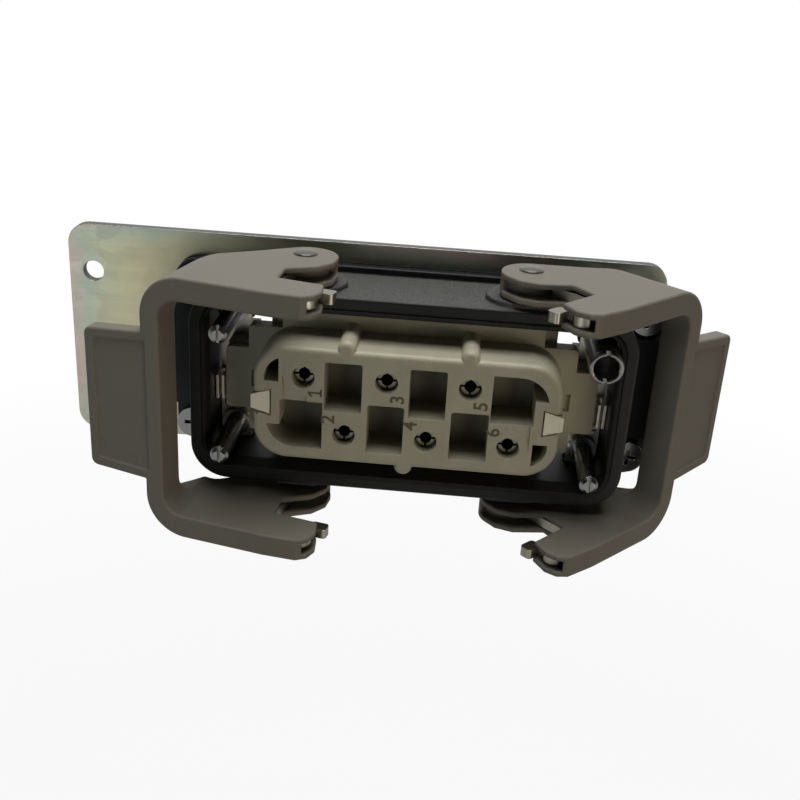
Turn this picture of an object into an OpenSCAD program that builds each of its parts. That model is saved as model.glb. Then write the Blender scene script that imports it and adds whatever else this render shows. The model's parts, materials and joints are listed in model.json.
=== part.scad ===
// Heavy duty rectangular connector: a bulkhead housing with two locking levers
// and a six-pole insert, screwed to a plated steel mounting plate.
// Millimetres. X runs along the long side and Z along the short side. The mating
// side faces -Y. The origin is the centre of the insert's contact face.

/* [Mounting plate] */
// Length of the mounting plate along X
plate_len = 131.8; // [128:0.2:160]
// Height of the mounting plate along Z
plate_high = 49.5; // [49:0.1:70]
// Thickness of the mounting plate
plate_t = 2.0; // [1.5:0.1:3]
// Distance from the centre line down to the lower edge
plate_drop = 22.7; // [22.7:0.1:24]
// Corner radius of the plate
plate_corner_r = 4.6; // [2:0.1:6]
// Diameter of the two fixing holes at the free end
plate_hole_d = 4.6; // [3.5:0.1:5.5]
// Distance from the plate's end to the fixing holes
plate_hole_edge = 5.4; // [5:0.1:7]
// Distance between the two fixing holes
plate_hole_pitch = 28.2; // [20:0.1:34]

/* [Housing] */
// Length of the housing rim
housing_len = 92.0; // [91.4:0.1:92.4]
// Height of the housing rim
housing_high = 42.8; // [42.4:0.1:43.2]
// Outer corner radius of the rim
housing_r = 8.0; // [7.4:0.1:9]
// Wall thickness at the rim
wall_t = 2.6; // [2.2:0.1:2.8]
// Distance the rim sits behind the contact face
rim_back = 6.0; // [4.5:0.1:7]
// Depth of the smooth collar behind the rim
collar_depth = 6.7; // [4:0.1:7.5]
// Step from the collar down to the marking faces
collar_step = 0.3; // [0.2:0.05:0.6]
// Distance from the contact face to the back of the flange
flange_back = 27.0; // [26.6:0.1:29]
// Thickness of the flange lip
flange_t = 2.5; // [2.2:0.1:3]
// Distance the end lugs stand out past the rim
flange_over_x = 7.6; // [7.4:0.1:8]
// Distance the flange lip stands out above and below the rim
flange_over_z = 1.2; // [1:0.05:1.25]
// Distance the end lugs reach above and below the rim
lug_over_z = 0.3; // [0:0.1:0.8]
// Thickness of the end lugs
end_lug_t = 4.5; // [4:0.1:4.8]
// Radius of the scallop round each flange screw
scallop_r = 4.5; // [4.3:0.05:4.8]
// Distance from the flange's end to its screws
screw_edge_x = 4.1; // [4:0.05:4.4]
// Distance from the lug's upper or lower edge to its screws
screw_edge_z = 5.3; // [4.9:0.1:5.6]

/* [Seals] */
// Thickness of the flange gasket
gasket_t = 1.0; // [0.8:0.1:1.6]
// Thickness of the rim seal across the wall
rim_seal_t = 0.8; // [0.6:0.05:0.9]
// Depth of the rim seal behind the rim
rim_seal_depth = 4.0; // [3:0.1:5.5]
// Distance the rim seal stands out of the rim
rim_seal_lip = 0.4; // [0.2:0.05:0.8]

/* [Insert] */
// Length of the mating block
block_len = 62.8; // [62.4:0.1:63.4]
// Height of the mating block
block_high = 24.8; // [24.6:0.1:25.2]
// Corner radius of the mating block
block_r = 7.0; // [6.4:0.1:7.4]
// Depth of the mating block in front of the base
block_depth = 12.0; // [11:0.1:13]
// Radius of the half-round keying ribs
rib_r = 1.9; // [1.4:0.1:2.4]
// Thickness of the insert's base
base_t = 3.5; // [3:0.1:4.5]
// Depth of the whole insert
insert_depth = 38.0; // [37.6:0.1:40]
// Length of the rear body
body_len = 60.4; // [58.6:0.1:61.2]
// Height of the rear body
body_high = 34.0; // [33:0.1:34.4]
// Distance the end blocks reach past the guide centres
ends_over = 0.75; // [0.5:0.05:0.95]
// Length of each end block along X
ends_t = 4.9; // [4.6:0.1:5.2]
// Height of the end blocks
ends_high = 14.0; // [13.2:0.1:14.8]
// Depth of the isolating pockets
pocket_depth = 9.5; // [7:0.1:10.5]
// Diameter of the contact holes
contact_hole_d = 4.7; // [4.6:0.05:5.2]
// Distance between contacts of one row
contact_pitch = 16.9; // [16.5:0.05:17.2]
// Distance of each contact row from the centre line
contact_row = 6.1; // [5.9:0.05:6.3]
// Distance of the upper row's middle contact left of centre
contact_shift = 4.3; // [4.1:0.05:4.5]

/* [Contacts] */
// Outer diameter of a contact socket
socket_od = 4.0; // [3.6:0.05:4.2]
// Bore of a contact socket
socket_bore = 2.5; // [2.0:0.05:2.8]
// Distance a socket sits behind the contact face
socket_back = 2.2; // [0.5:0.1:3]
// Side of the square terminal body
terminal_side = 5.6; // [5:0.1:5.8]
// Length of the terminal body
terminal_len = 12.0; // [10:0.1:13]
// Diameter of the terminal screw head
terminal_head_d = 4.2; // [3.6:0.1:4.4]

/* [Earth parts] */
// Thickness of the earth plates
pe_plate_t = 1.2; // [1:0.1:1.6]
// Distance of the earth plates behind the contact face
pe_plate_back = 20.0; // [19.5:0.1:21]
// Distance an earth plate reaches inwards past the guide centres
pe_plate_in = 3.25; // [2.9:0.05:3.4]
// Width of the earth terminal at the end of the plate
pe_term_w = 1.8; // [1.5:0.1:2]
// Height of the earth terminal
pe_term_h = 5.5; // [4.5:0.1:6]
// Length of the earth terminal in front of the plate
pe_term_len = 5.5; // [4:0.1:6]
// Diameter of the earth screws
pe_screw_d = 2.6; // [2.2:0.1:2.8]
// Distance from the centre line to the earth screws
pe_screw_z = 8.7; // [8.5:0.05:8.9]
// Half height of an earth contact bar at its inner side
pe_bar_half = 2.65; // [2.2:0.05:2.9]
// Distance of the bar's inner side from the centre
pe_bar_in = 28.0; // [27.8:0.05:28.3]
// Distance of the bar's outer side from the centre
pe_bar_out = 31.9; // [31.6:0.05:32.3]

/* [Guides] */
// Distance from the rim's end to the guide centres
guide_edge_x = 7.25; // [7.1:0.05:7.4]
// Distance from the rim's upper or lower edge to the guide centres
guide_edge_z = 7.9; // [7.8:0.05:8]
// Diameter of the guide pins
pin_d = 3.9; // [3.5:0.05:4.2]
// Distance the pin tips sit behind the contact face
pin_back = 0.4; // [0:0.1:3]
// Outer diameter of the guide bush
bush_od = 6.8; // [6.4:0.05:6.9]
// Bore of the guide bush
bush_bore = 4.85; // [4.4:0.05:5]
// Distance the bush stands out past the contact face
bush_out = 1.4; // [0:0.1:3]

/* [Levers] */
// Distance of the lever pivots from the centre
pivot_x = 23.2; // [22.8:0.1:23.5]
// Distance of the lever pivots behind the contact face
pivot_back = 14.0; // [13.7:0.1:14.3]
// Diameter of the pivot pegs
peg_d = 6.0; // [5:0.1:6.6]
// Distance between the inner faces of a lever's arms
arm_inner = 46.6; // [46.3:0.1:47.6]
// Distance the levers hang below the centre line
lever_drop = 0.4; // [0:0.05:0.5]
// Thickness of the lever arms
arm_t = 4.9; // [4.6:0.1:5.4]
// Thickness of each skin beside the groove in the arms
arm_skin = 1.25; // [1:0.05:1.5]
// Radius of the rounded end round the pivot
prong_r = 6.2; // [5.8:0.1:6.4]
// Radius of the hub round the pivot peg
hub_r = 5.0; // [4.6:0.1:5.1]
// Radius of the domed button over the pivot
button_r = 2.35; // [1.8:0.05:2.6]
// Reach of the cross bar's outer face from the pivot
bar_reach = 23.5; // [23.5:0.1:24.4]
// Thickness of the cross bar
bar_t = 3.9; // [3.2:0.1:4.1]
// Distance of the lever's front face from the pivot
lever_front = 26.8; // [26.3:0.1:27.6]
// Depth of the cross bar
bar_depth = 7.0; // [6:0.1:7.4]
// Outer corner radius between arms and cross bar
lever_r = 8.6; // [6:0.1:9.5]
// Width of the grip beyond the cross bar
grip_width = 12.6; // [11:0.1:12.8]
// Thickness of the grip
grip_t = 3.5; // [3:0.1:3.6]
// Height of the grip
grip_high = 32.4; // [28:0.1:34]
// Thickness of the spring strips
strip_t = 0.5; // [0.4:0.05:0.7]
// Height of the spring strips
strip_h = 2.1; // [1.6:0.05:2.15]
// Distance the spring noses stand out of the hook tips
nose_out = 2.1; // [1.4:0.1:2.4]
// Height of the spring noses along the slot
nose_high = 2.8; // [2:0.1:3]
// Opening angle of the left lever
open_left = 13.8; // [0:0.1:48]
// Opening angle of the right lever
open_right = 46.2; // [0:0.1:50]

/* [Hidden] */
$fn = 48;
// clearances
run_gap = 0.05;
side_gap = 0.3;
slip_gap = 0.15;
hole_gap = 0.3;
eps = 0.5;
// stations along Y
plate_y0 = flange_back + gasket_t;
plate_y1 = plate_y0 + plate_t;
collar_y = rim_back + collar_depth;
seal_y = rim_back + rim_seal_depth;
lip_y = flange_back - flange_t;
lug_y = flange_back - end_lug_t;
pe_y1 = pe_plate_back + pe_plate_t;
base_y1 = block_depth + base_t;
socket_y1 = 22.0;
terminal_y1 = socket_y1 + terminal_len;
terminal_screw_y = socket_y1 + 0.66 * terminal_len;
// plate outline
plate_x1 = housing_len / 2 + flange_over_x;
plate_x0 = plate_x1 - plate_len;
plate_z0 = -plate_drop;
plate_z1 = plate_z0 + plate_high;
plate_mid_z = (plate_z0 + plate_z1) / 2;
plate_hole_x = plate_x0 + plate_hole_edge;
// housing outline
hx = housing_len / 2;
hz = housing_high / 2;
wx = hx - collar_step;
wz = hz - collar_step;
ix = hx - wall_t;
iz = hz - wall_t;
jx = ix - rim_seal_t;
jz = iz - rim_seal_t;
fx = hx + flange_over_x;
fz = hz + flange_over_z;
lug_z = hz + lug_over_z;
inner_r = housing_r - wall_t - rim_seal_t;
cut_x = jx + 0.4;
cut_z = jz + 0.3;
sx = fx - screw_edge_x;
sz = lug_z - screw_edge_z;
gx = hx - guide_edge_x;
gz = hz - guide_edge_z;
post_x = gx - 3.55;
post_z = gz - 3.1;
// screws
screw_r = 2.0;
screw_head_r = 3.6;
screw_head_h = 2.6;
nut_r = 3.9;
nut_h = 3.2;
washer_r = 4.3;
lug_r = 5.0;
washer_t = 0.8;
// insert
bx = block_len / 2;
bz = block_high / 2;
base_x = bx - 4.0;
base_z = body_high / 2;
ear_x = gx + ends_over;
ear_in = ear_x - ends_t;
ear_z = ends_high / 2;
ear_back = 29.0;
face_step = 0.4;
term_half = terminal_side / 2;
term_top = contact_row + term_half;
contact_x = [-contact_shift - contact_pitch, -contact_shift - contact_pitch / 2 + 0.15,
    -contact_shift, contact_shift, contact_shift + contact_pitch / 2 - 0.15,
    contact_shift + contact_pitch];
contact_z = [contact_row, -contact_row, contact_row, -contact_row, contact_row, -contact_row];
// levers
lever_in = arm_inner / 2;
boss_z = lever_in - lever_drop - side_gap;
lever_out = lever_in + arm_t;
bore_depth = 3.0;
bar_in = bar_reach - bar_t;
grip_out = bar_reach + grip_width;
bar_back = lever_front - bar_depth;
groove_z0 = lever_in + arm_skin;
groove_z1 = lever_out - arm_skin;
slot_f = 17.5;
leg_o = -0.6;
run_f = slot_f - 0.4;
nose_f1 = slot_f + 0.8;
nose_o = -10.9 - nose_out;
nose_in = -9.2;
curl_o = -8.6;
curl_f = 21.3;
curl_r = 2.4;

// an outline in X and Z drawn out from y0 to y1
module along_y(y0, y1) {
    translate([0, y1, 0]) rotate([90, 0, 0]) linear_extrude(height = y1 - y0) children();
}

// a rounded rectangle given by its limits
module rrect(x0, x1, z0, z1, r) {
    translate([x0 + r, z0]) square([x1 - x0 - 2 * r, z1 - z0]);
    translate([x0, z0 + r]) square([x1 - x0, z1 - z0 - 2 * r]);
    for (x = [x0 + r, x1 - r]) {
        for (z = [z0 + r, z1 - r]) {
            translate([x, z]) circle(r = r);
        }
    }
}

// a centred rounded rectangle given by its half sizes
module crect(x, z, r) {
    rrect(-x, x, -z, z, r);
}

// a cylinder along Y
module rod(x, z, y0, y1, r) {
    translate([x, y1, z]) rotate([90, 0, 0]) cylinder(h = y1 - y0, r = r);
}

// a box by its limits
module block(x0, x1, y0, y1, z0, z1) {
    translate([x0, y0, z0]) cube([x1 - x0, y1 - y0, z1 - z0]);
}

// ---- mounting plate ----
module mounting_plate() {
    color("#b9b38c") along_y(plate_y0, plate_y1) {
        difference() {
            rrect(plate_x0, plate_x1, plate_z0, plate_z1, plate_corner_r);
            crect(cut_x, cut_z, 5);
            for (z = [-1, 1]) {
                translate([plate_hole_x, plate_mid_z + z * plate_hole_pitch / 2]) circle(d = plate_hole_d);
            }
            for (x = [-sx, sx]) {
                for (z = [-sz, sz]) {
                    translate([x, z]) circle(r = screw_r + hole_gap);
                }
            }
        }
    }
}

// ---- housing ----
module flange_outline(over) {
    crect(fx, lug_z + over, lug_r);
    crect(hx + 1.0, fz + over, housing_r + 1.0);
}

module scallop(x, z) {
    rod(x, z, lug_y - 1, lip_y, scallop_r);
    ox = x > 0 ? x - scallop_r : x - 8;
    oz = z > 0 ? z : z - 8;
    block(ox, ox + 8 + scallop_r, lug_y - 1, lip_y, oz, oz + 8);
    px = x > 0 ? x : x - 8;
    pz = z > 0 ? z - scallop_r : z - 8;
    block(px, px + 8, lug_y - 1, lip_y, pz, pz + 8 + scallop_r);
}

module housing_bosses() {
    for (x = [-pivot_x, pivot_x]) {
        for (s = [0, 1]) {
            mirror([0, 0, s]) translate([x, pivot_back, 0]) {
                translate([0, 0, wz - 1]) linear_extrude(height = boss_z - wz + 1) {
                    translate([-2.4, 0]) circle(r = 6.5);
                    translate([2.4, 0]) circle(r = 6.5);
                    translate([-2.4, -6.5]) square([4.8, 13]);
                }
                translate([0, 0, boss_z - 0.5]) cylinder(h = bore_depth + 0.5, d = peg_d);
            }
        }
    }
}

module housing() {
    color("#26282a") {
        difference() {
            union() {
                along_y(rim_back, collar_y) crect(hx, hz, housing_r);
                along_y(collar_y - eps, flange_back - eps) crect(wx, wz, housing_r - collar_step);
                along_y(lip_y, flange_back) flange_outline(0);
                difference() {
                    along_y(lug_y, flange_back - eps) crect(fx, wz, lug_r);
                    for (x = [-sx, sx]) {
                        for (z = [-sz, sz]) {
                            scallop(x, z);
                        }
                    }
                }
                housing_bosses();
            }
            along_y(rim_back - 1, seal_y) crect(ix, iz, housing_r - wall_t);
            along_y(seal_y - eps, pe_y1) crect(jx, jz, inner_r);
            along_y(pe_y1 - eps, flange_back + 1) {
                difference() {
                    crect(jx, jz, inner_r);
                    for (s = [0, 1]) {
                        mirror([s, 0]) for (t = [0, 1]) {
                            mirror([0, t]) translate([post_x, post_z]) square([12, 12]);
                        }
                    }
                }
            }
            for (x = [-sx, sx]) {
                for (z = [-sz, sz]) {
                    rod(x, z, lip_y - 1, flange_back + 1, screw_r + hole_gap);
                }
            }
            for (x = [-gx, gx]) {
                for (z = [-gz, gz]) {
                    rod(x, z, pe_y1 - 1, flange_back + 1, 2.0);
                }
            }
        }
    }
}

// ---- seals ----
module flange_gasket() {
    color("#1b1c1d") along_y(flange_back, plate_y0) {
        difference() {
            flange_outline(0.1);
            crect(cut_x, cut_z, 5);
            for (x = [-sx, sx]) {
                for (z = [-sz, sz]) {
                    translate([x, z]) circle(r = screw_r + hole_gap);
                }
            }
        }
    }
}

module rim_seal() {
    color("#161717") along_y(rim_back - rim_seal_lip, seal_y) {
        difference() {
            crect(ix, iz, housing_r - wall_t);
            crect(jx, jz, inner_r);
        }
    }
}

// ---- insert ----
module pocket_a() {
    rrect(-contact_shift - 12.6, -contact_shift - 4.9, -1.0, 9.7, 0.5);
}

module pocket_b() {
    rrect(0.4, 7.9, -1.1, 9.6, 0.5);
}

module pocket_end() {
    difference() {
        union() {
            translate([17.1, -0.8]) square([5.6, 10.4]);
            translate([22, -0.8]) square([6.7, 4.4]);
            translate([22.7, 3.6]) circle(r = 6.0);
        }
        translate([14, -9]) square([3.1, 18]);
        translate([14, -9]) square([14, 8.2]);
        translate([25.9, -9]) square([8, 13.7]);
    }
}

module pockets() {
    pocket_a();
    pocket_b();
    pocket_end();
    intersection() {
        translate([block_r - bx, bz - block_r]) circle(r = block_r - 2.2);
        translate([-bx, 4.8]) square([bx - 26.2, 8]);
    }
}

// a shallow step in the face between the end pocket, the last contact and the end
module shallow_recess() {
    difference() {
        translate([-25.4, 0.7]) square([5.0, 5.4]);
        translate([contact_x[0], contact_z[0]]) circle(r = 4.1);
    }
}

module pe_bar_outline(gap) {
    polygon([[pe_bar_in - gap, -pe_bar_half - gap], [pe_bar_out + gap, -pe_bar_half + 1.15 - gap],
        [pe_bar_out + gap, pe_bar_half - 1.15 + gap], [pe_bar_in - gap, pe_bar_half + gap]]);
}

module pe_slot_outline() {
    pe_bar_outline(side_gap);
    translate([bx - 0.4, -pe_bar_half + 0.7]) square([3, 2 * pe_bar_half - 1.4]);
}

// everything that is cut through the insert from the face to the back
module insert_cuts() {
    along_y(-1, pocket_depth) pockets();
    along_y(-1, face_step) shallow_recess();
    along_y(-1, face_step) rotate([0, 0, 180]) shallow_recess();
    along_y(-1, pocket_depth) rotate([0, 0, 180]) pockets();
    // earth bar slots
    for (s = [0, 1]) {
        mirror([s, 0, 0]) along_y(-1, block_depth + 1) pe_slot_outline();
    }
    // contact holes, terminal pockets and screw wells
    for (k = [0 : 5]) {
        rod(contact_x[k], contact_z[k], -1, socket_y1 + 1, contact_hole_d / 2);
        h = term_half + slip_gap;
        block(contact_x[k] - h, contact_x[k] + h, socket_y1, insert_depth + 1, contact_z[k] - h, contact_z[k] + h);
        sgn = contact_z[k] > 0 ? 0 : 1;
        mirror([0, 0, sgn]) translate([contact_x[k], terminal_screw_y, contact_row]) cylinder(h = 20, r = terminal_head_d / 2 + hole_gap);
    }
}

// the outline of the mating block with its keying ribs
module block_outline() {
    crect(bx, bz, block_r);
    for (x = [-12.6, 12.2]) {
        translate([x, bz]) circle(r = rib_r);
    }
    translate([0, -bz]) circle(r = rib_r);
}

// the mating block in front of the base
module insert_body() {
    color("#b3ab90") difference() {
        along_y(0, block_depth) block_outline();
        insert_cuts();
    }
}

// the base, its end blocks and the rear body
module insert_base() {
    color("#aaa287") difference() {
        union() {
            along_y(block_depth, base_y1) {
                block_outline();
                crect(base_x, base_z, 1.0);
                crect(ear_in, bz - 0.4, 1.0);
                crect(ear_x, ear_z, 0.8);
            }
            along_y(base_y1 - eps, insert_depth) crect(body_len / 2, base_z, 1.0);
            for (s = [0, 1]) {
                mirror([s, 0, 0]) {
                    block(ear_in, ear_x, base_y1 - eps, ear_back, -ear_z, ear_z);
                    block(ear_in, ear_x, pe_y1, ear_back - 3, -ear_z - 1.6, ear_z + 1.6);
                    block(body_len / 2 - 1, ear_in + 1, pe_y1 + 1, ear_back - 1, -ear_z + 2, ear_z - 2);
                }
            }
        }
        insert_cuts();
        // transverse grooves behind the end lips
        for (s = [0, 1]) {
            mirror([s, 0, 0]) for (t = [0, 1]) {
                mirror([0, 0, t]) block(ear_in - 1, ear_x + 1, 13.2, 15.0, ear_z - 1.6, ear_z + 2);
            }
        }
    }
}

// ---- contacts ----
module contact(k) {
    color("#c9c6bd") {
        x = contact_x[k];
        z = contact_z[k];
        sgn = z > 0 ? 0 : 1;
        difference() {
            union() {
                rod(x, z, socket_back, socket_y1 + 1, socket_od / 2);
                block(x - term_half, x + term_half, socket_y1, terminal_y1, z - term_half, z + term_half);
            }
            rod(x, z, socket_back - 1, socket_back + 14, socket_bore / 2);
            block(x - 0.2, x + 0.2, socket_back - 1, socket_back + 8, z - 3, z + 3);
            block(x - 3, x + 3, socket_back - 1, socket_back + 8, z - 0.2, z + 0.2);
            rod(x, z, socket_y1 + 3, terminal_y1 + 1, 1.9);
            mirror([0, 0, sgn]) translate([x, terminal_screw_y, contact_row + 1]) cylinder(h = 5, r = 1.5);
        }
    }
}

module contact_1() { contact(0); }
module contact_2() { contact(1); }
module contact_3() { contact(2); }
module contact_4() { contact(3); }
module contact_5() { contact(4); }
module contact_6() { contact(5); }

module terminal_screws() {
    color("#d8d6d0") for (k = [0 : 5]) {
        sgn = contact_z[k] > 0 ? 0 : 1;
        mirror([0, 0, sgn]) translate([contact_x[k], terminal_screw_y, term_top]) {
            difference() {
                union() {
                    cylinder(h = 1.7, d = terminal_head_d);
                    translate([0, 0, -2.2]) cylinder(h = 2.3, r = 1.2);
                }
                translate([-3, -0.35, 0.9]) cube([6, 0.7, 2]);
            }
        }
    }
}

// ---- earth parts ----
module pe_plate() {
    term_x = jx - side_gap - pe_term_w;
    difference() {
        union() {
            along_y(pe_plate_back, pe_y1) {
                difference() {
                    intersection() {
                        crect(jx - side_gap, jz - side_gap, inner_r - side_gap);
                        translate([gx - pe_plate_in, -jz]) square([jx, 2 * jz]);
                    }
                    crect(ear_x + slip_gap, ear_z + slip_gap, 0.5);
                }
            }
            block(term_x, term_x + pe_term_w, pe_plate_back - pe_term_len, pe_plate_back + eps,
                -1.0 - pe_term_h, -1.0);
        }
        for (z = [-gz, gz]) {
            rod(gx, z, pe_plate_back - 1, pe_y1 + 1, 2.1);
        }
        block(term_x + 0.6, term_x + 1.2, pe_plate_back - pe_term_len - 1, pe_plate_back - 1.5,
            -2.0 - pe_term_h, 0);
    }
}

module pe_plate_left() {
    color("#c4c3bd") mirror([1, 0, 0]) pe_plate();
}

module pe_plate_right() {
    color("#c4c3bd") pe_plate();
}

module pe_contact() {
    along_y(0.2, block_depth + 1) pe_bar_outline(0);
}

module pe_contact_left() {
    color("#d9d4bd") mirror([1, 0, 0]) pe_contact();
}

module pe_contact_right() {
    color("#d9d4bd") pe_contact();
}

module pe_screws() {
    color("#c9c8c2") for (s = [0, 1]) {
        mirror([s, 0, 0]) difference() {
            rod(ear_x + 0.5, -pe_screw_z, pe_plate_back - 1.8, pe_plate_back, pe_screw_d / 2);
            block(ear_x - 2, ear_x + 3, pe_plate_back - 2.5, pe_plate_back - 1.1, -pe_screw_z - 0.2,
                -pe_screw_z + 0.2);
        }
    }
}

// ---- guides ----
module guide_pin(x, z) {
    difference() {
        union() {
            rod(x, z, pin_back + 0.8, pe_plate_back - 0.5, pin_d / 2);
            translate([x, pin_back + 0.8, z]) rotate([90, 0, 0]) cylinder(h = 0.8, r1 = pin_d / 2, r2 = pin_d / 2 - 0.8);
            rod(x, z, pe_plate_back - 2.4, pe_plate_back, 3.1);
            rod(x, z, pe_plate_back - eps, flange_back - 1.2, 1.7);
        }
        block(x - 0.3, x + 0.3, pin_back - 1, pin_back + 1.0, z - 4, z + 4);
    }
}

module guide_pins() {
    color("#d5d5d2") {
        guide_pin(-gx, gz);
        guide_pin(-gx, -gz);
        guide_pin(gx, -gz);
    }
}

module guide_bush() {
    color("#d5d5d2") difference() {
        union() {
            rod(gx, gz, -bush_out, pe_plate_back, bush_od / 2);
            rod(gx, gz, pe_plate_back - eps, flange_back - 1.2, 1.7);
        }
        rod(gx, gz, -bush_out - 1, 12, bush_bore / 2);
        block(gx - 4, gx + 4, -bush_out - 1, -bush_out + 1.3, gz - 0.4, gz + 0.4);
    }
}

// ---- levers, drawn closed for the left side: o runs outwards and f forwards ----
module arm_outline() {
    translate([-1.0, 1.0]) circle(r = prong_r);
    polygon([[-7.2, 1.0], [-7.4, 3.4], [-5.6, 7.2], [-0.3, 11.3], [-1.4, slot_f - 0.2], [-10.9, slot_f],
        [-12.2, 21.8], [-11.6, 24.6], [-9.6, 26.2], [-2.5, lever_front], [bar_reach, lever_front],
        [bar_reach, bar_back - 1.5], [20.0, 13.6], [18.0, 10.4], [11.3, 4.6], [3.4, -3.4], [0, 0]]);
}

// the groove between the skins of an arm: round the hub, behind the slot and through the hook tip
module groove_outline() {
    difference() {
        polygon([[-9.0, -2.6], [-9.0, 13.0], [-14.5, slot_f - 1], [-14.5, 25.2], [-6.4, 25.2], [-6.4, 21.4],
            [3.8, 21.4], [3.8, 4.4], [0, 0]]);
        circle(r = hub_r);
    }
}

module lever_side_outline() {
    difference() {
        union() {
            translate([-20, -lever_out]) square([20 + bar_reach - lever_r, 2 * lever_out]);
            translate([-20, -lever_out + lever_r]) square([20 + bar_reach, 2 * lever_out - 2 * lever_r]);
            for (z = [-1, 1]) {
                translate([bar_reach - lever_r, z * (lever_out - lever_r)]) circle(r = lever_r);
            }
        }
        translate([-30, -lever_in]) square([30 + bar_in - 4.2, 2 * lever_in]);
        translate([-30, -lever_in + 4.2]) square([30 + bar_in, 2 * lever_in - 8.4]);
        for (z = [-1, 1]) {
            translate([bar_in - 4.2, z * (lever_in - 4.2)]) circle(r = 4.2);
        }
    }
}

// an outline in o and z drawn out from f0 to f1
module along_f(f0, f1) {
    translate([0, f1, 0]) rotate([90, 0, 0]) linear_extrude(height = f1 - f0) children();
}

module grip_outline(gap) {
    g = grip_high / 2 - gap;
    r = 1.6 - gap / 2;
    polygon([[bar_reach - 1, -g], [grip_out - gap - r, -g + 0.9], [grip_out - gap - r, g - 0.9], [bar_reach - 1, g]]);
    translate([bar_reach - 1, -g + 0.9 + r]) square([grip_width - gap + 1, 2 * g - 1.8 - 2 * r]);
    for (z = [-1, 1]) {
        translate([grip_out - gap - r, z * (g - 0.9 - r)]) circle(r = r);
    }
}

module lever_closed() {
    difference() {
        union() {
            intersection() {
                translate([0, 0, -40]) linear_extrude(height = 80) arm_outline();
                along_f(-20, 40) lever_side_outline();
            }
            along_f(lever_front - grip_t, lever_front) grip_outline(0);
            for (s = [0, 1]) {
                mirror([0, 0, s]) translate([0, 0, lever_out - eps]) {
                    cylinder(h = eps + 0.2, r = button_r);
                    cylinder(h = eps + 0.4, r = button_r - 0.6);
                }
            }
        }
        // the cross bar is shallower than the arms
        translate([bar_in - 6, 0, 0]) rotate([90, 0, 90]) linear_extrude(height = 12) {
            rrect(bar_back - 22, bar_back, -lever_in + 1.2, lever_in - 1.2, 4.0);
        }
        // recessed panel in the grip
        along_f(lever_front - 0.5, lever_front + 1) difference() {
            grip_outline(2.0);
            translate([bar_reach - 3, -grip_high]) square([2.2, 2 * grip_high]);
        }
        for (s = [0, 1]) {
            mirror([0, 0, s]) {
                translate([0, 0, lever_in - 1]) cylinder(h = bore_depth + 1 + side_gap, r = peg_d / 2 + run_gap);
                translate([0, 0, groove_z0]) linear_extrude(height = groove_z1 - groove_z0) groove_outline();
            }
        }
    }
}

// one bent spring strip: past the slot's end, along the hook, round the nose and curled in the tip
module strip_outline() {
    translate([leg_o, 6.4]) square([strip_t, run_f + strip_t - 6.4]);
    translate([nose_in - 1, run_f]) square([leg_o + strip_t - nose_in + 1, strip_t]);
    rrect(nose_o, nose_in, nose_f1 - nose_high, nose_f1, 0.8);
    translate([nose_in - 0.4, nose_f1 - 1]) square([1.2, curl_f - curl_r - nose_f1 + 1.4]);
    difference() {
        translate([curl_o, curl_f]) circle(r = curl_r);
        translate([curl_o, curl_f]) circle(r = curl_r - strip_t);
        translate([curl_o + 0.2, curl_f - 4]) square([4, 8]);
    }
}

module clips_closed() {
    for (s = [0, 1]) {
        mirror([0, 0, s]) translate([0, 0, groove_z0]) linear_extrude(height = strip_h) strip_outline();
    }
}

// place a closed left lever piece at its pivot, opened by an angle
module place_left(open) {
    translate([-pivot_x, pivot_back, -lever_drop]) rotate([0, 0, -open]) rotate([0, 0, 180]) children();
}

module place_right(open) {
    mirror([1, 0, 0]) place_left(open) children();
}

module left_lever() {
    color("#8b867a") place_left(open_left) lever_closed();
}

module right_lever() {
    color("#8b867a") place_right(open_right) lever_closed();
}

module left_lever_clips() {
    color("#cfcfcc") place_left(open_left) clips_closed();
}

module right_lever_clips() {
    color("#cfcfcc") place_right(open_right) clips_closed();
}

// ---- flange fasteners ----
module flange_screws() {
    color("#cfd0d0") for (x = [-sx, sx]) {
        for (z = [-sz, sz]) {
            difference() {
                union() {
                    rod(x, z, lip_y - screw_head_h, lip_y, screw_head_r);
                    rod(x, z, lip_y - eps, plate_y1 + washer_t + nut_h + 1.2, screw_r);
                }
                block(x - 0.45, x + 0.45, lip_y - screw_head_h - 1, lip_y - 1.2, z - 1.9, z + 1.9);
                block(x - 1.9, x + 1.9, lip_y - screw_head_h - 1, lip_y - 1.2, z - 0.45, z + 0.45);
            }
        }
    }
}

module flange_washers() {
    color("#bfc0c0") for (x = [-sx, sx]) {
        for (z = [-sz, sz]) {
            difference() {
                rod(x, z, plate_y1, plate_y1 + washer_t, washer_r);
                rod(x, z, plate_y1 - 1, plate_y1 + washer_t + 1, screw_r + hole_gap);
            }
        }
    }
}

module flange_nuts() {
    color("#c6c7c7") for (x = [-sx, sx]) {
        for (z = [-sz, sz]) {
            y0 = plate_y1 + washer_t;
            difference() {
                translate([x, y0 + nut_h, z]) rotate([90, 0, 0]) cylinder(h = nut_h, r = nut_r, $fn = 6);
                rod(x, z, y0 - 1, y0 + nut_h + 1, screw_r + hole_gap);
            }
        }
    }
}

mounting_plate();
housing();
flange_gasket();
rim_seal();
insert_body();
insert_base();
contact_1();
contact_2();
contact_3();
contact_4();
contact_5();
contact_6();
terminal_screws();
pe_plate_left();
pe_plate_right();
pe_contact_left();
pe_contact_right();
pe_screws();
guide_pins();
guide_bush();
left_lever();
right_lever();
left_lever_clips();
right_lever_clips();
flange_screws();
flange_washers();
flange_nuts();
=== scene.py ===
import json
import math

import bmesh
import bpy
from mathutils import Matrix, Vector


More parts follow.
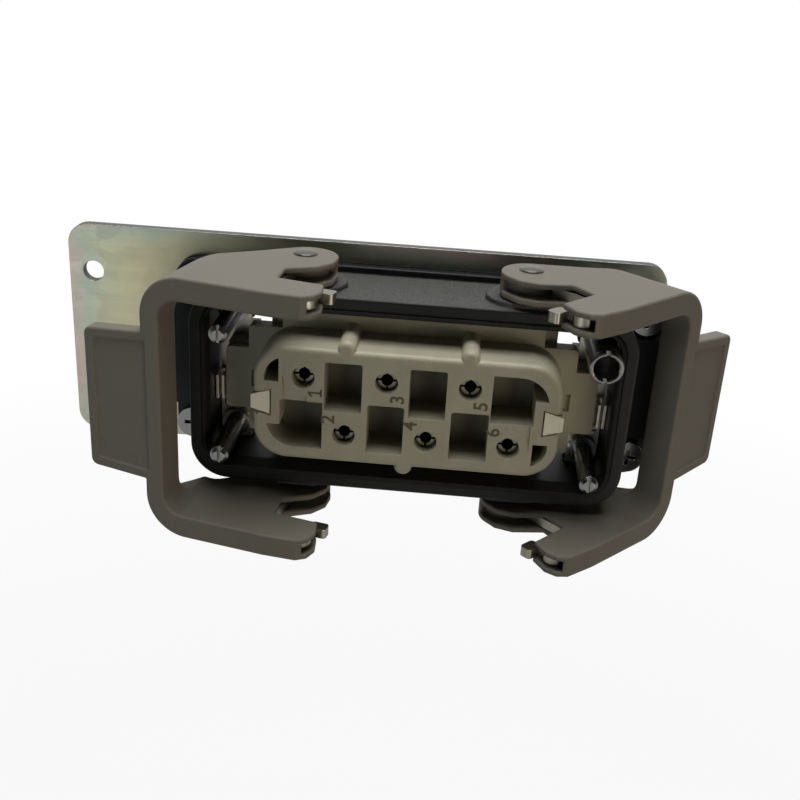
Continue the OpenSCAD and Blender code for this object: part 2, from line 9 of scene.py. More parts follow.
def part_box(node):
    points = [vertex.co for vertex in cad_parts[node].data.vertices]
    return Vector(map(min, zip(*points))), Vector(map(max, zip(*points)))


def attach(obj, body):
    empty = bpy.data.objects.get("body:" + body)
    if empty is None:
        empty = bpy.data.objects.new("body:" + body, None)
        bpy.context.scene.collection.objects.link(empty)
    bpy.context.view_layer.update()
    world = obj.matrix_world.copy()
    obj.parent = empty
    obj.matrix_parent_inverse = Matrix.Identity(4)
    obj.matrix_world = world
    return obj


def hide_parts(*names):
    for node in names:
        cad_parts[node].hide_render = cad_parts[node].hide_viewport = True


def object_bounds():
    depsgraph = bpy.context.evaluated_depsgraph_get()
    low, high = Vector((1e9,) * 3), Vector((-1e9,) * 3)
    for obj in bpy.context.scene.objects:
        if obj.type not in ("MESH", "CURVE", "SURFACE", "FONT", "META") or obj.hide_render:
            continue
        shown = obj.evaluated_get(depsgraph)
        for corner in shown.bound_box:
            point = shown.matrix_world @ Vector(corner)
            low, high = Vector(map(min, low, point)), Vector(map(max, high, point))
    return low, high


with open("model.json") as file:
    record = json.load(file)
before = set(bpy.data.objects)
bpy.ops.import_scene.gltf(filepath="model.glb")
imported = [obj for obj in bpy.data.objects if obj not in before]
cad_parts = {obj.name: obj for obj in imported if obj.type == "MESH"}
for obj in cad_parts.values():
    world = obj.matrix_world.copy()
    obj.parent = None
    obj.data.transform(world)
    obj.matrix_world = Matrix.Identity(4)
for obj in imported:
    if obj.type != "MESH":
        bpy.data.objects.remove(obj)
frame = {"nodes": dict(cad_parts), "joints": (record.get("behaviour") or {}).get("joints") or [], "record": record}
nodes = frame["nodes"]
record = frame["record"]
size_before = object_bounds()

MM = 0.001
SAME_POINT = 1e-7  # metres: nearer than this, two points are one
scene = bpy.context.scene
scene.view_settings.view_transform = 'Standard'


# ---------------------------------------------------------------- shader sums
class Val:
    """A socket that can stand in a sum. Each sum is a Math node."""

    def __init__(self, tree, socket):
        self.tree = tree
        self.socket = socket

    def beside(self, output):
        """Another output of the same node."""
        return Val(self.tree, self.socket.node.outputs[output])

    def math(self, operation, *terms, clamp=False):
        n = self.tree.nodes.new('ShaderNodeMath')
        n.operation = operation
        n.use_clamp = clamp
        for k, term in enumerate(terms):
            if isinstance(term, Val):
                self.tree.links.new(term.socket, n.inputs[k])
            else:
                n.inputs[k].default_value = term
        return Val(self.tree, n.outputs[0])

    def __add__(self, o):
        return self.math('ADD', self, o)

    def __sub__(self, o):
        return self.math('SUBTRACT', self, o)

    def __rsub__(self, o):
        return self.math('SUBTRACT', o, self)

    def __mul__(self, o):
        return self.math('MULTIPLY', self, o)

    def __truediv__(self, o):
        return self.math('DIVIDE', self, o)

    __radd__ = __add__
    __rmul__ = __mul__

    def clip(self):
        return self.math('ADD', self, 0.0, clamp=True)

    def size(self):
        return self.math('ABSOLUTE', self)

    def least(self, o):
        return self.math('MINIMUM', self, o)

    def most(self, o):
        return self.math('MAXIMUM', self, o)

    def rise(self, start, width):
        """0 at start and 1 at start + width, clipped on both sides. The width may be negative."""
        return ((self - start) / width).clip()

    def within(self, low, high, soft):
        """1 between low and high and 0 outside, with a soft border inside both."""
        return self.rise(low, soft) * (1.0 - self.rise(high - soft, soft))


class Tree:
    """A node tree, with one method that adds a node to it."""

    def __init__(self, tree):
        self.tree = tree

    def node(self, kind, settings=None, values=None, out=0):
        """Adds one node: its settings come first, then its sockets' values or links."""
        n = self.tree.nodes.new(kind)
        for key, what in (settings or {}).items():
            if key == "stops":
                self.colour_stops(n.color_ramp, what)
            else:
                setattr(n, key, what)
        for key, what in (values or {}).items():
            if isinstance(what, Val):
                self.tree.links.new(what.socket, n.inputs[key])
            else:
                n.inputs[key].default_value = what
        return Val(self.tree, n.outputs[out]) if len(n.outputs) else None

    @staticmethod
    def colour_stops(ramp, stops):
        while len(ramp.elements) < len(stops):
            ramp.elements.new(0.5)
        for element, (at, colour) in zip(ramp.elements, stops):
            element.position = at
            element.color = (*colour, 1.0)

    def opaque(self, c):
        return c if isinstance(c, Val) else (*c, 1.0)

    def mix(self, share, a, b):
        """Colour a, going over to colour b as the share grows."""
        values = {"Factor": share, 6: self.opaque(a), 7: self.opaque(b)}
        return self.node('ShaderNodeMix', {"data_type": 'RGBA'}, values, out=2)

    def seen_and_mirrored(self):
        """Two shares: 1 for what the camera sees itself, and 1 for what a reflection shows."""
        seen = self.node('ShaderNodeLightPath', out="Is Camera Ray")
        return seen, seen.beside("Is Glossy Ray").most(seen.beside("Is Transmission Ray"))


class Finish(Tree):
    """A material built up on one Principled shader, in the object's own coordinates."""

    SOCKETS = {"colour": "Base Color", "rough": "Roughness", "normal": "Normal"}

    def __init__(self, name, metal=0.0, gloss=0.5):
        self.material = bpy.data.materials.new(name)
        self.material.use_nodes = True
        super().__init__(self.material.node_tree)
        self.shader = self.tree.nodes["Principled BSDF"]
        self.shader.inputs["Metallic"].default_value = metal
        self.shader.inputs["Specular IOR Level"].default_value = gloss
        self.place = self.node('ShaderNodeTexCoord', out="Object")
        self.x = self.node('ShaderNodeSeparateXYZ', {}, {"Vector": self.place}, out="X")
        self.y, self.z = self.x.beside("Y"), self.x.beside("Z")

    def stretched(self, sx, sy, sz):
        return self.node('ShaderNodeMapping', {}, {"Vector": self.place, "Scale": (sx, sy, sz)})

    def cloud(self, per_mm, detail=3.0, roughness=0.5, where=None):
        values = {"Vector": where or self.place, "Scale": per_mm / MM,
                  "Detail": detail, "Roughness": roughness}
        return self.node('ShaderNodeTexNoise', {}, values)

    def cells(self, per_mm, out="Distance"):
        values = {"Vector": self.place, "Scale": per_mm / MM}
        return self.node('ShaderNodeTexVoronoi', {}, values, out=out)

    def rounded(self, radius_mm):
        """The surface direction with its edges eased over a radius."""
        return self.node('ShaderNodeBevel', {"samples": 5}, {"Radius": radius_mm * MM})

    def facing(self):
        """The surface direction without any easing."""
        return self.node('ShaderNodeNewGeometry', out="Normal")

    def edge(self, eased):
        """1 where an eased edge turns away from its face, else 0."""
        near = self.node('ShaderNodeVectorMath', {"operation": 'DOT_PRODUCT'},
                         {0: eased, 1: self.facing()}, out="Value")
        return (1.0 - near).rise(0.02, 0.16)

    def bumped(self, height, strength, depth_mm, base):
        values = {"Strength": strength, "Distance": depth_mm * MM, "Height": height, "Normal": base}
        return self.node('ShaderNodeBump', {}, values)

    def set(self, **sockets):
        for key, what in sockets.items():
            self.tree.links.new(what.socket, self.shader.inputs[self.SOCKETS[key]])
        return self.material


# ---------------------------------------------------------------- finishes
def moulded_grey():
    """Stone-grey glass-filled lever plastic, finely sparked, rubbed lighter on its edges."""
    dull, plain, sparked = (0.180, 0.166, 0.134), (0.206, 0.190, 0.154), (0.25, 0.232, 0.19)
    pitted, rubbed = (0.12, 0.112, 0.095), (0.33, 0.31, 0.265)
    f = Finish("lever_grey", gloss=0.28)
    eased = f.rounded(0.5)
    worn = f.edge(eased) * f.cloud(0.35).rise(0.35, 0.3)
    broad = f.cloud(0.05, 4.0).rise(0.3, 0.4)
    grain = f.cloud(3.2, 2.0)
    pits = 1.0 - f.cells(2.4).rise(0.08, 0.1)
    colour = f.mix(broad, dull, plain)
    colour = f.mix(grain.rise(0.35, 0.3) * 0.30, colour, sparked)
    colour = f.mix(pits * 0.25, colour, pitted)
    colour = f.mix(worn * 0.5, colour, rubbed)
    rough = 0.50 + broad * 0.08 - worn * 0.12
    return f.set(colour=colour, rough=rough, normal=f.bumped(grain, 0.22, 0.05, eased))


def shell_black():
    """Black die-cast shell, satin, with coarser textured marking faces above and below."""
    deep, plain = (0.007, 0.0075, 0.008), (0.014, 0.0145, 0.015)
    face_dark, face_light = (0.028, 0.028, 0.026), (0.088, 0.087, 0.081)
    rubbed, dusty = (0.11, 0.112, 0.112), (0.2, 0.19, 0.17)
    face_start, face_height, border = 6.2 * MM, 20.6 * MM, 0.2 * MM
    face_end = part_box("flange_gasket")[0][1] - 2.6 * MM
    f = Finish("shell_black", gloss=0.25)
    eased = f.rounded(0.45)
    face = f.y.within(face_start, face_end, border) * f.z.size().rise(face_height, border)
    grain = f.cloud(2.6, 3.0)
    coarse = f.cells(2.2)
    broad = f.cloud(0.08, 4.0)
    dust = f.cloud(0.9, 6.0, 0.7).rise(0.6, 0.12)
    worn = f.edge(eased) * f.cloud(0.3).rise(0.42, 0.25)
    colour = f.mix(broad.rise(0.3, 0.4), deep, plain)
    colour = f.mix(face, colour, f.mix(coarse.rise(0.1, 0.5), face_dark, face_light))
    colour = f.mix(worn * 0.55, colour, rubbed)
    colour = f.mix(dust * 0.10, colour, dusty)
    rough = 0.38 + broad * 0.14 + face * 0.16
    relief = grain * (1.0 - face) + coarse * face * 2.2
    return f.set(colour=colour, rough=rough, normal=f.bumped(relief, 0.28, 0.07, eased))


def insert_pebble():
    """Pebble-grey moulded insert: fine spark texture, faint flow marks, and painted shade that darkens its pockets
    with depth.
    """
    dull, plain, sparked = (0.385, 0.366, 0.268), (0.45, 0.428, 0.32), (0.56, 0.535, 0.405)
    pitted, rubbed, painted_pocket_shade = (0.26, 0.24, 0.165), (0.62, 0.60, 0.47), (0.10, 0.09, 0.062)
    pocket_x, pocket_z, border = 28.5 * MM, 10.2 * MM, -0.5 * MM
    pocket_mouth, pocket_deep = 1.5 * MM, 7 * MM
    f = Finish("insert_pebble", gloss=0.45)
    eased = f.rounded(0.2)
    grain = f.cloud(3.0, 2.0)
    flow = f.cloud(0.16, 5.0, 0.6, f.stretched(1.0, 0.35, 1.0))
    pits = 1.0 - f.cells(1.7).rise(0.05, 0.09)
    inside = f.x.size().rise(pocket_x, border) * f.z.size().rise(pocket_z, border)
    colour = f.mix(flow.rise(0.32, 0.36), dull, plain)
    colour = f.mix(pits * 0.4, colour, pitted)
    colour = f.mix(grain.rise(0.4, 0.3) * 0.22, colour, sparked)
    colour = f.mix(f.edge(eased) * 0.35, colour, rubbed)
    # painted shade: the colour darkens with depth inside the contact pockets, where shade falls
    colour = f.mix(inside * f.y.rise(pocket_mouth, pocket_deep) * 0.6, colour, painted_pocket_shade)
    rough = 0.38 + grain * 0.12
    return f.set(colour=colour, rough=rough, normal=f.bumped(grain, 0.16, 0.04, eased))


def passivated_zinc():
    """Galvanised sheet with a thin yellow passivation that turns green and pink at its borders, and a painted dark
    teal reflection over its right end.
    """
    bands = [(0.0, (0.47, 0.43, 0.35)), (0.30, (0.53, 0.475, 0.32)), (0.50, (0.55, 0.505, 0.31)),
             (0.66, (0.49, 0.49, 0.33)), (0.76, (0.40, 0.46, 0.37)), (0.86, (0.53, 0.43, 0.37)),
             (1.0, (0.40, 0.41, 0.43))]
    right_reflection_tint, rolled, scuffed = (0.33, 0.385, 0.36), (0.44, 0.435, 0.38), (0.70, 0.69, 0.62)
    rubbed, bare_cut = (0.78, 0.78, 0.74), (0.10, 0.105, 0.105)
    border_width, right_start, right_width = 13 * MM, 12 * MM, 34 * MM
    f = Finish("passivated_zinc", metal=1.0)
    eased = f.rounded(0.3)
    lo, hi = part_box("mounting_plate")
    drift = f.cloud(0.035, 4.0, 0.55)
    film = f.cloud(0.02, 3.0, 0.5, f.stretched(1.0, 1.0, 1.6))
    inwards = (f.x - lo[0]).least(f.z - lo[2]).least(hi[0] - f.x).least((hi[2] - f.z) * 1.6)
    border = 1.0 - inwards.rise(0.0, border_width)
    tint = (film - 0.5) * 0.7 + (drift - 0.5) * 0.4 + 0.5 + border * 0.34
    lines = f.cloud(2.2, 4.0, 0.6, f.stretched(0.02, 1.0, 1.0))
    scuffs = f.cloud(0.6, 8.0, 0.75).rise(0.58, 0.1)
    grey = f.node('ShaderNodeSeparateColor', {}, {0: f.cells(0.30, out="Color")})
    to_front = f.node('ShaderNodeSeparateXYZ', {}, {0: f.facing()}, out="Y")
    cut = 1.0 - to_front.size().rise(0.4, 0.3)
    # painted reflection: the sheet's right end is tinted dark teal, as a reflection on it would show
    painted_reflection_share = f.x.rise(right_start, right_width) * (0.55 + 0.3 * drift)
    colour = f.node('ShaderNodeValToRGB', {"stops": bands}, {0: tint.clip()}, out="Color")
    colour = f.mix(painted_reflection_share, colour, right_reflection_tint)
    colour = f.mix(0.35 * lines, colour, rolled)
    colour = f.mix(scuffs * 0.25, colour, scuffed)
    colour = f.mix(f.edge(eased) * 0.55, colour, rubbed)
    colour = f.mix(cut * 0.85, colour, bare_cut)
    rough = 0.26 + lines * 0.14 + grey * 0.06 + scuffs * 0.1 + cut * 0.2
    relief = lines + grey * 0.25
    return f.set(colour=colour, rough=rough, normal=f.bumped(relief, 0.10, 0.03, eased))


def plated_steel(name, tone, rough, marked_along=(0.06, 1.0, 0.06)):
    """Plated metal: fine tool marks drawn out along the part, a little staining, bright edges."""
    stained = tuple(c * 0.62 for c in tone)
    rubbed = tuple(min(1.0, c * 1.25) for c in tone)
    f = Finish(name, metal=1.0)
    eased = f.rounded(0.18)
    stain = f.cloud(0.5, 5.0, 0.65).rise(0.5, 0.25)
    marks = f.cloud(6.0, 2.0, 0.5, f.stretched(*marked_along))
    colour = f.mix(stain * 0.22, tone, stained)
    colour = f.mix(f.edge(eased) * 0.7, colour, rubbed)
    return f.set(colour=colour, rough=rough - 0.05 + marks * 0.14 + stain * 0.04,
                 normal=f.bumped(marks, 0.06, 0.01, eased))


def seal_rubber():
    """Black seal rubber with a dull skin and dusty pores."""
    deep, plain, pore = (0.009, 0.009, 0.009), (0.018, 0.018, 0.017), (0.004, 0.004, 0.004)
    f = Finish("seal_rubber", gloss=0.25)
    eased = f.rounded(0.25)
    pores = f.cells(3.0)
    broad = f.cloud(0.4, 5.0, 0.6)
    colour = f.mix(broad.rise(0.35, 0.4), deep, plain)
    colour = f.mix((1.0 - pores.rise(0.05, 0.1)) * 0.3, colour, pore)
    rough = 0.62 + broad * 0.2
    return f.set(colour=colour, rough=rough, normal=f.bumped(pores, 0.2, 0.05, eased))


def earth_strip():
    """Pale tinned earth bar ends with a soft, slightly creamy face."""
    plain, pale, rubbed = (0.76, 0.71, 0.57), (0.90, 0.85, 0.70), (0.95, 0.93, 0.84)
    f = Finish("earth_strip", metal=0.15)
    eased = f.rounded(0.2)
    marks = f.cloud(3.0, 3.0, 0.6, f.stretched(1.0, 1.0, 0.1))
    colour = f.mix(marks, plain, pale)
    colour = f.mix(f.edge(eased) * 0.5, colour, rubbed)
    rough = 0.38 + marks * 0.15
    return f.set(colour=colour, rough=rough, normal=f.bumped(marks, 0.12, 0.03, eased))


def rivet_black():
    """Oiled black-finished rivet heads, rubbed paler in places."""
    oiled, pale = (0.072, 0.067, 0.052), (0.13, 0.125, 0.105)
    f = Finish("rivet_black", gloss=0.6)
    eased = f.rounded(0.2)
    rubbed = f.cloud(0.9, 5.0, 0.65).rise(0.5, 0.2)
    colour = f.mix(rubbed * 0.5, oiled, pale)
    rough = 0.26 + rubbed * 0.14
    return f.set(colour=colour, rough=rough, normal=f.bumped(rubbed, 0.08, 0.03, eased))


def number_shade():
    """Painted shade: the dark tone of the contact numbers stands in for the shade inside their moulded strokes."""
    deep, plain = (0.115, 0.103, 0.068), (0.165, 0.150, 0.102)
    f = Finish("number_shade", gloss=0.2)
    eased = f.rounded(0.1)
    grain = f.cloud(3.0, 3.0)
    colour = f.mix(grain, deep, plain)
    rough = 0.55 + grain * 0.15
    return f.set(colour=colour, rough=rough, normal=f.bumped(grain, 0.2, 0.04, eased))


ROLLED = (1.0, 1.0, 0.08)  # tool marks drawn out along z, as on rolled strip

LEVER = moulded_grey()
SHELL = shell_black()
INSERT = insert_pebble()
ZINC = passivated_zinc()
STEEL = plated_steel("turned_steel", (0.27, 0.27, 0.258), 0.22)
BUSH = plated_steel("bush_steel", (0.24, 0.24, 0.228), 0.2)
SPRING = plated_steel("spring_steel", (0.30, 0.285, 0.23), 0.32, ROLLED)
CONTACT = plated_steel("contact_silver", (0.25, 0.235, 0.18), 0.30)
RIVET = rivet_black()
EARTH = plated_steel("earth_sheet", (0.74, 0.70, 0.58), 0.36, ROLLED)
RUBBER = seal_rubber()
CREAM = earth_strip()
NUMBER_PAINTED_SHADE = number_shade()

# What each node wears. Those that aren't listed are the contacts.
WEARS = {
    "mounting_plate": ZINC, "housing": SHELL, "flange_gasket": RUBBER, "rim_seal": RUBBER,
    "insert_body": INSERT, "insert_base": INSERT, "terminal_screws": STEEL,
    "pe_plate_left": EARTH, "pe_plate_right": EARTH, "pe_contact_left": CREAM,
    "pe_contact_right": CREAM, "pe_screws": STEEL, "guide_pins": STEEL, "guide_bush": STEEL,
    "left_lever": LEVER, "right_lever": LEVER, "left_lever_clips": SPRING,
    "right_lever_clips": SPRING, "flange_screws": STEEL, "flange_washers": STEEL,
    "flange_nuts": STEEL,
}
for name, obj in nodes.items():
    obj.data.materials.clear()
    obj.data.materials.append(WEARS.get(name, CONTACT))


# ---------------------------------------------------------------- making pieces
def add_object(name, data):
    obj = bpy.data.objects.new(name, data)
    scene.collection.objects.link(obj)
    return obj


def mesh_from(name, bm):
    """Turns a bmesh into a mesh and frees it."""
    mesh = bpy.data.meshes.new(name)
    bm.to_mesh(mesh)
    bm.free()
    return mesh


def add_mesh(bm, mesh):
    """Adds a mesh to a bmesh and drops it."""
    bm.from_mesh(mesh)
    bpy.data.meshes.remove(mesh)


def piece(name, bm, material, body, smooth=True):
    """Turns a finished bmesh into a piece that rides on a body."""
    bmesh.ops.remove_doubles(bm, verts=bm.verts, dist=SAME_POINT)
    bmesh.ops.recalc_face_normals(bm, faces=bm.faces)
    mesh = mesh_from(name, bm)
    for p in mesh.polygons:
        p.use_smooth = smooth
    mesh.materials.append(material)
    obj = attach(add_object(name, mesh), body)
    return obj


def turned(bm, profile, place, axis, steps=40):
    """Spins a profile of (radius, height) points in mm round an axis at a place into bm."""
    part = bmesh.new()
    verts = [part.verts.new((r * MM, 0.0, h * MM)) for r, h in profile]
    edges = [part.edges.new(pair) for pair in zip(verts, verts[1:])]
    bmesh.ops.spin(part, geom=verts + edges, cent=(0, 0, 0), axis=(0, 0, 1), angle=math.tau,
                   steps=steps, use_merge=True, use_duplicate=False)
    bmesh.ops.remove_doubles(part, verts=part.verts, dist=SAME_POINT)
    turn = Vector((0, 0, 1)).rotation_difference(Vector(axis)).to_matrix().to_4x4()
    bmesh.ops.transform(part, matrix=Matrix.Translation(place) @ turn, verts=part.verts)
    add_mesh(bm, mesh_from("turned", part))


# ---------------------------------------------------------------- real rounded edges
MERGE = 2e-6                      # metres: points of the CAD mesh that are one point
FLAT = math.radians(0.5)          # faces that meet at less than this become one face
SHARP = math.radians(35)          # edges that turn by less than this aren't rounded
SHADED_SHARP = math.radians(32)   # edges that turn by more than this are shaded as sharp
FACE_SHARE = 0.42                 # share of a face's clear width that one rounding may take
LEAST_ROOM = 0.06 * MM            # an edge with less room than this isn't rounded


def flat_outline(face):
    """A face's corners laid out flat, and its edges as flat segments."""
    first = (face.verts[1].co - face.verts[0].co).normalized()
    second = face.normal.cross(first)
    flat = {v: (v.co.dot(first), v.co.dot(second)) for v in face.verts}
    return flat, [flat[e.verts[0]] + flat[e.verts[1]] for e in face.edges]


def clear_width(outline, edge):
    """How far a face reaches inwards from one of its edges."""
    flat, segments = outline
    (ax, ay), (bx, by) = (flat[v] for v in edge.verts)
    mx, my = 0.5 * (ax + bx), 0.5 * (ay + by)
    length = math.hypot(bx - ax, by - ay)
    ux, uy = (bx - ax) / length, (by - ay) / length
    reach = 1.0
    for px, py, qx, qy in segments:
        pt, pn = (px - mx) * ux + (py - my) * uy, (py - my) * ux - (px - mx) * uy
        qt, qn = (qx - mx) * ux + (qy - my) * uy, (qy - my) * ux - (qx - mx) * uy
        if (pt > 0) != (qt > 0):
            across = abs(pn + (qn - pn) * pt / (pt - qt))
            if across > SAME_POINT:
                reach = min(reach, across)
        for t, n in ((pt, pn), (qt, qn)):
            if abs(t) < 0.5 * length and abs(n) > SAME_POINT:
                reach = min(reach, abs(n))
    return reach


def even_out(edges, weights, passes=60, growth=1.04, step=0.02):
    """Lets the rounding change only a little from one edge to the next."""
    known = set(edges)
    for _ in range(passes):
        for edge in edges:
            near = min(e[weights] for v in edge.verts for e in v.link_edges if e in known)
            edge[weights] = min(edge[weights], near * growth + step)


def set_widths(bm, weights, radius, only):
    """Says how much of the radius each sharp edge gets: all of it for the edges that are asked for,
    or else as much as its two faces have room for."""
    sharp = [edge for edge in bm.edges
             if len(edge.link_faces) == 2 and edge.calc_face_angle(0.0) >= SHARP]
    if only:
        for edge in sharp:
            edge[weights] = 1.0 if only(edge) else 0.0
        return
    outlines = {face: flat_outline(face) for face in bm.faces}
    for edge in sharp:
        room = FACE_SHARE * min(clear_width(outlines[face], edge) for face in edge.link_faces)
        edge[weights] = min(1.0, room / radius) if room > LEAST_ROOM else 0.0
    even_out(sharp, weights)


def rounded_piece(node, body, radius_mm, only=None):
    """A merged copy of a CAD node with its sharp edges really rounded."""
    radius = radius_mm * MM
    bm = bmesh.new()
    bm.from_mesh(nodes[node].data)
    bmesh.ops.remove_doubles(bm, verts=bm.verts, dist=MERGE)
    if not only:
        bmesh.ops.dissolve_limit(bm, angle_limit=FLAT, verts=bm.verts, edges=bm.edges)
    set_widths(bm, bm.edges.layers.float.new("bevel_weight_edge"), radius, only)
    mesh = mesh_from(node + "_rounded", bm)
    mesh.materials.append(WEARS[node])
    obj = add_object(node + "_rounded", mesh)
    bevel = obj.modifiers.new("edges", 'BEVEL')
    bevel.limit_method = 'WEIGHT'
    bevel.width = radius
    bevel.segments = 5 if only else 3
    bevel.use_clamp_overlap = False
    bevel.loop_slide = False
    if not only:
        for p in mesh.polygons:
            p.use_smooth = True
        mesh.set_sharp_from_angle(angle=SHADED_SHARP)
        obj.modifiers.new("even", 'WEIGHTED_NORMAL').keep_sharp = True
    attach(obj, body)
    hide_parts(node)


block_low, block_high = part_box("insert_body")
block_front = block_low[1] + 0.01 * MM
block_corner = (block_high[0] - 7.0 * MM, 5.4 * MM)  # where its corner's round is centred
block_inside = 6.9 * MM                              # what is nearer than this isn't the outline


def front_outline(edge):
    """Says if an edge is on the outer outline of the insert's mating face."""
    past_corner = (Vector((max(abs(v.co.x) - block_corner[0], 0.0),
                           max(abs(v.co.z) - block_corner[1], 0.0))) for v in edge.verts)
    return (max(v.co.y for v in edge.verts) <= block_front
            and all(past.length > block_inside for past in past_corner))


rounded_piece("left_lever", "left_lever", 0.45)
rounded_piece("right_lever", "right_lever", 0.45)
rounded_piece("insert_body", "base", 1.1, front_outline)
rounded_piece("housing", "base", 0.35)


# ---------------------------------------------------------------- lever pivot rivets
def pivot_rivets():
    """Domed rivet heads over the pivots, on the outer face of each lever arm."""
    head = [(0.0, -0.25), (2.55, -0.25), (2.55, 0.12), (2.48, 0.24), (2.25, 0.40), (1.8, 0.54),
            (1.2, 0.63), (0.6, 0.67), (0.0, 0.68)]
    arm_inset = 0.4 * MM  # how far the arm's outer face lies inside the lever's box
    for lever in ("left_lever", "right_lever"):
        x, y, _ = next(j for j in frame["joints"] if j["name"] == lever + "_pivot")["pos_m"]
        lo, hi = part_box(lever)
        bm = bmesh.new()
        for z, way in ((hi[2] - arm_inset, 1), (lo[2] + arm_inset, -1)):
            turned(bm, head, Vector((x, y, z)), (0, 0, way))
        piece(lever + "_rivets", bm, RIVET, lever)


pivot_rivets()


# ---------------------------------------------------------------- guide bush
def guide_bush():
    """The hollow guide bush: a slotted, chamfered mouth on a plain barrel with a riveted tail."""
    lo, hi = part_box("guide_bush")
    middle = Vector((0.5 * (lo[0] + hi[0]), 0.0, 0.5 * (lo[2] + hi[2])))
    outer, bore, bore_end, tail = 0.5 * (hi[0] - lo[0]) / MM, 2.425, 12.0, 1.7
    shoulder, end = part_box("pe_plate_right")[1][1] / MM, hi[1] / MM
    mouth, root, overlap = lo[1] / MM, -0.1, 0.2
    skin, chamfer, lip = 0.01, 0.28, 0.30
    jaw_span = 164  # degrees of each of the two jaws, which leaves the slots between them
    bm = bmesh.new()
    turned(bm, [(0, bore_end), (bore, bore_end), (bore, root), (outer, root), (outer, shoulder),
                (tail, shoulder), (tail, end), (0, end)], middle, (0, 1, 0), 48)
    outline = [(bore + lip, mouth), (outer - chamfer, mouth), (outer - skin, mouth + chamfer),
               (outer - skin, root + overlap), (bore + skin, root + overlap),
               (bore + skin, mouth + lip)]
    jaw = bmesh.new()
    face = jaw.faces.new([jaw.verts.new((r * MM, y * MM, 0.0)) for r, y in outline])
    start = Matrix.Rotation(math.radians(-0.5 * jaw_span), 3, 'Y')
    bmesh.ops.rotate(jaw, verts=jaw.verts, cent=(0, 0, 0), matrix=start)
    bmesh.ops.spin(jaw, geom=[face] + face.edges[:] + face.verts[:], cent=(0, 0, 0),
                   axis=(0, 1, 0), angle=math.radians(jaw_span), steps=28,
                   use_merge=False, use_duplicate=False)
    for turn in (0.0, math.pi):
        mesh = mesh_from("jaw", jaw.copy())
        mesh.transform(Matrix.Translation(middle) @ Matrix.Rotation(turn, 4, 'Y'))
        add_mesh(bm, mesh)
    jaw.free()
    obj = piece("guide_bush_turned", bm, BUSH, "base", smooth=False)
    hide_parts("guide_bush")


guide_bush()


# ---------------------------------------------------------------- contact numbers
def figure(k):
    """One figure as a thin flat mesh, upright in x and y."""
    thick = 0.06 * MM
    bm = bmesh.new()
    if k == 1:
        # three strokes in mm: width, height, x, y, and the lean in degrees
        strokes = ((0.42, 2.9, 0.1, 0.0, 0), (0.42, 1.15, -0.32, 0.98, -48),
                   (1.6, 0.42, 0.1, -1.24, 0))
        for wide, high, x, y, lean in strokes:
            stroke = bmesh.ops.create_cube(bm, size=1.0)["verts"]
            size = Matrix.Diagonal((wide * MM, high * MM, thick, 1.0))
            leant = Matrix.Rotation(math.radians(lean), 4, 'Z')
            place = Matrix.Translation((x * MM, y * MM, 0.0)) @ leant
            bmesh.ops.transform(bm, matrix=place @ size, verts=stroke)
        return bm
    font = bpy.data.curves.new("figure", 'FONT')
    font.body = str(k)
    font.size = 4.0 * MM
    font.align_x = 'CENTER'
    font.align_y = 'CENTER'
    font.resolution_u = 4
    font.offset = 0.08 * MM
    font.extrude = 0.5 * thick
    text = add_object("figure", font)
    bpy.context.view_layer.update()
    drawn = text.evaluated_get(bpy.context.evaluated_depsgraph_get())
    mesh = bpy.data.meshes.new_from_object(drawn)
    bpy.data.objects.remove(text)
    add_mesh(bm, mesh)
    return bm


def contact_numbers():
    """The contact numbers beside the sockets, read from the side as on the real insert, drawn as thin dark figures
    in painted shade.
    """
    beside_upper, beside_lower = (2.5, -3.3), (-3.2, 3.35)
    quarter = math.radians(90)
    stand = Matrix.Rotation(quarter, 4, 'X') @ Matrix.Rotation(quarter, 4, 'Z')
    for k in range(1, 7):
        x, _, z = next(m for m in record["mounts"] if m["name"] == "socket_%d" % k)["pos_m"]
        across, up = beside_upper if z > 0 else beside_lower
        bm = figure(k)
        place = Matrix.Translation((x + across * MM, 0.0, z + up * MM)) @ stand
        bmesh.ops.transform(bm, matrix=place, verts=bm.verts)
        # painted shade: each figure is a thin dark sheet standing in for the shade in the number's strokes
        piece("contact_number_%d" % k, bm, NUMBER_PAINTED_SHADE, "base", smooth=False)


contact_numbers()


# ---------------------------------------------------------------- screw threads
def screw_threads():
    """Thread crests on the screw ends that stand out of the nuts behind the plate."""
    lo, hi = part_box("flange_screws")
    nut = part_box("flange_nuts")[1][1]
    head_radius, pitch = 3.6 * MM, 0.4 * MM
    core, crown, tip, point = 2.0, 2.12, 1.9, 1.5
    profile = [(0.0, 0.0), (tip, 0.0)]
    y = nut + 0.05 * MM
    while y + pitch < hi[1]:
        foot = (y - nut) / MM
        profile += [(core, foot), (crown, foot + 0.18), (core, foot + 0.36)]
        y += pitch
    end = (hi[1] - nut) / MM
    profile += [(tip, end - 0.02), (point, end + 0.02), (0.0, end + 0.02)]
    bm = bmesh.new()
    for x in (lo[0] + head_radius, hi[0] - head_radius):
        for z in (lo[2] + head_radius, hi[2] - head_radius):
            turned(bm, profile, Vector((x, nut, z)), (0, 1, 0), 24)
    piece("screw_threads", bm, STEEL, "base")


screw_threads()


# ---------------------------------------------------------------- floor, camera and light
WHITE = (1, 1, 1, 1)


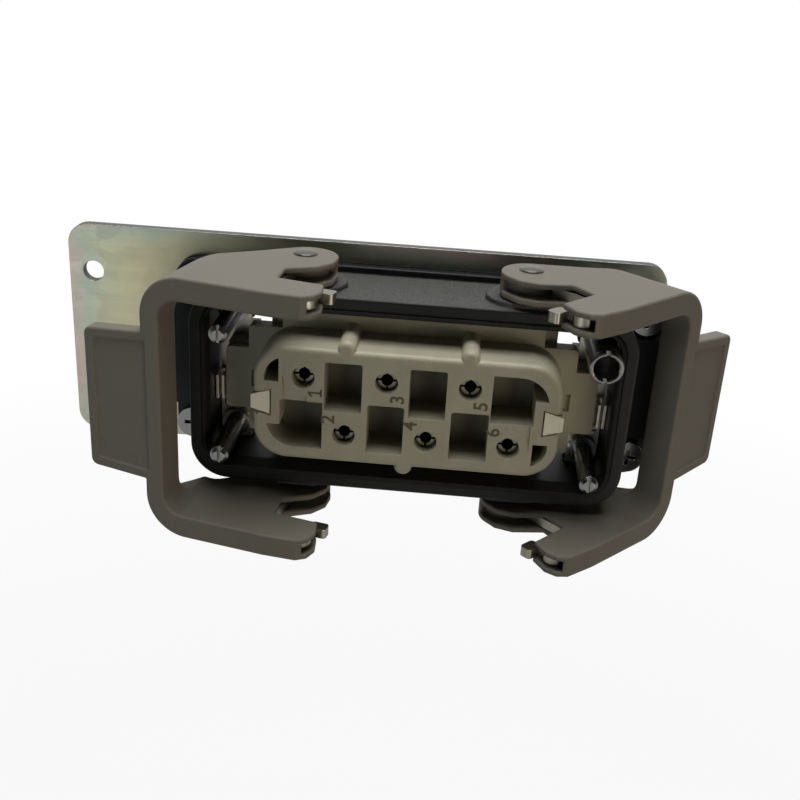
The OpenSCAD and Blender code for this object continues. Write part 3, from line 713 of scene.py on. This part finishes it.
def floor_finish():
    """A floor that is white where it is looked at, keeps the soft shadow and throws back little."""
    throws_back = (0.08, 0.08, 0.08, 1)
    in_mirrors = 0.45
    glow_near, glow_more, glow_start, glow_width = 0.88, 0.12, 0.35, 0.35
    material = bpy.data.materials.new("pale_floor")
    material.use_nodes = True
    material.node_tree.nodes.clear()
    t = Tree(material.node_tree)
    camera, mirror = t.seen_and_mirrored()
    seen = camera.most(mirror * in_mirrors)
    place = t.node('ShaderNodeTexCoord', out="Object")
    far = t.node('ShaderNodeVectorMath', {"operation": 'LENGTH'}, {0: place}, out="Value")
    away = far.rise(glow_start, glow_width)
    shade = t.node('ShaderNodeMix', {"data_type": 'RGBA'},
                   {"Factor": seen, 6: throws_back, 7: WHITE}, out=2)
    matt = t.node('ShaderNodeBsdfDiffuse', {}, {"Color": shade})
    glow = t.node('ShaderNodeEmission', {}, {"Color": WHITE, "Strength": 1.0})
    share = seen * (glow_near + away * glow_more)
    both = t.node('ShaderNodeMixShader', {}, {0: share, 1: matt, 2: glow})
    t.node('ShaderNodeOutputMaterial', {}, {"Surface": both})
    return material


def lay_floor():
    """The floor plane, well below the object."""
    below, half_width = 0.22, 2.5
    bm = bmesh.new()
    bmesh.ops.create_grid(bm, x_segments=4, y_segments=4, size=half_width)
    bmesh.ops.translate(bm, verts=bm.verts, vec=(0, 0, size_before[0][2] - below))
    mesh = mesh_from("floor", bm)
    mesh.materials.append(floor_finish())
    add_object("floor", mesh)


def set_camera():
    """The camera, above the front and a little right of the middle, looking down."""
    lens = bpy.data.cameras.new("camera")
    lens.lens = 49.105
    lens.clip_start = 0.01
    lens.clip_end = 10
    camera = add_object("camera", lens)
    camera.location = (0.00802, -0.20183, 0.09114)
    camera.rotation_euler = tuple(math.radians(a) for a in (66.355, -3.203, 4.063))
    scene.camera = camera


def studio_world():
    """White where it is looked at, pale behind the object in reflections, else a dim room."""
    behind_start, behind_width = -0.15, 0.6
    in_mirrors, dim = 0.8, 0.015
    world = bpy.data.worlds.new("studio")
    scene.world = world
    world.use_nodes = True
    world.node_tree.nodes.clear()
    t = Tree(world.node_tree)
    camera, mirror = t.seen_and_mirrored()
    way = t.node('ShaderNodeTexCoord', out="Generated")
    depth = t.node('ShaderNodeSeparateXYZ', {}, {0: way}, out="Y")
    behind = depth.rise(behind_start, behind_width)
    level = (mirror * behind * in_mirrors + dim).most(camera)
    light = t.node('ShaderNodeBackground', {}, {"Color": WHITE, "Strength": level})
    t.node('ShaderNodeOutputWorld', {}, {"Surface": light})


def soft_light(name, place, size, power, colour=(1.0, 1.0, 1.0)):
    """A square lamp that looks at the middle of the object."""
    lamp = bpy.data.lights.new(name, 'AREA')
    lamp.size = size
    lamp.energy = power
    lamp.color = colour
    obj = add_object(name, lamp)
    obj.location = place
    obj.rotation_euler = (-Vector(place)).to_track_quat('-Z', 'Y').to_euler()


lay_floor()
set_camera()
studio_world()
soft_light("overhead", (0.0, -0.05, 0.68), 0.5, 3.3)
soft_light("behind", (0.0, 0.18, 0.65), 0.5, 1.4)
soft_light("warm_fill", (0.42, -0.46, -0.16), 0.4, 1.3, (1.0, 0.88, 0.72))
soft_light("cool_fill", (-0.42, -0.46, -0.16), 0.4, 0.62, (0.92, 1.0, 1.0))
